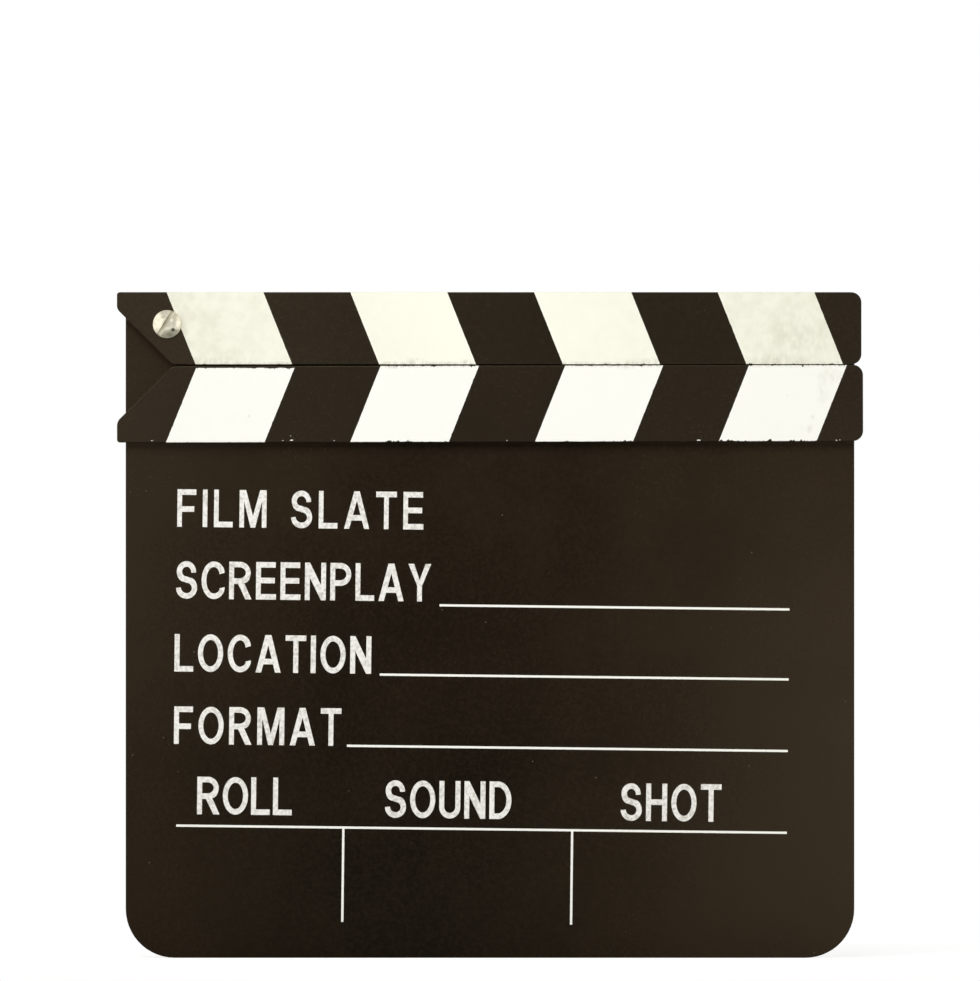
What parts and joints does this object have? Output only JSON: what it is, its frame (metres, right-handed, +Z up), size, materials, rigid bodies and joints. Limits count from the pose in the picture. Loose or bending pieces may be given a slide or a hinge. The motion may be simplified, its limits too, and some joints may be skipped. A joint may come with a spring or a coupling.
{
  "type": "clapperboard",
  "caption": "Hand-held film clapperboard: a painted slate with ruled writing lines, a fixed striped stick and a striped clapper stick that swings on a corner pivot.",
  "frame": {"origin": "middle of the slate's bottom edge, halfway through the slate's thickness", "axes": "+X to the right seen from the printed front, +Y from the front to the back, +Z up towards the sticks"},
  "size_m": [0.2024, 0.0116, 0.1806],
  "materials": {
    "slate_paint": "satin black paint on fibreboard",
    "stick_paint": "satin black paint on fibreboard",
    "white_ink": "matt screen-printed white ink",
    "nickel_plate": "polished nickel plate",
    "pin_steel": "bright drawn wire"
  },
  "bodies": {
    "board": {"slate_board": "slate_paint", "lower_stick": "stick_paint", "lower_stripes": "white_ink", "ruled_lines": "white_ink", "pivot_post": "nickel_plate", "pivot_screw": "nickel_plate", "panel_pins": "pin_steel"},
    "clapper": {"upper_stick": "stick_paint", "upper_stripes": "white_ink"}
  },
  "joints": [
    {"name": "clapper_hinge", "type": "hinge", "parent": "board", "child": "clapper", "pos_m": [-0.08762, 0, 0.17195], "axis": [0, -1, 0], "range_deg": [0, 100]}
  ]
}
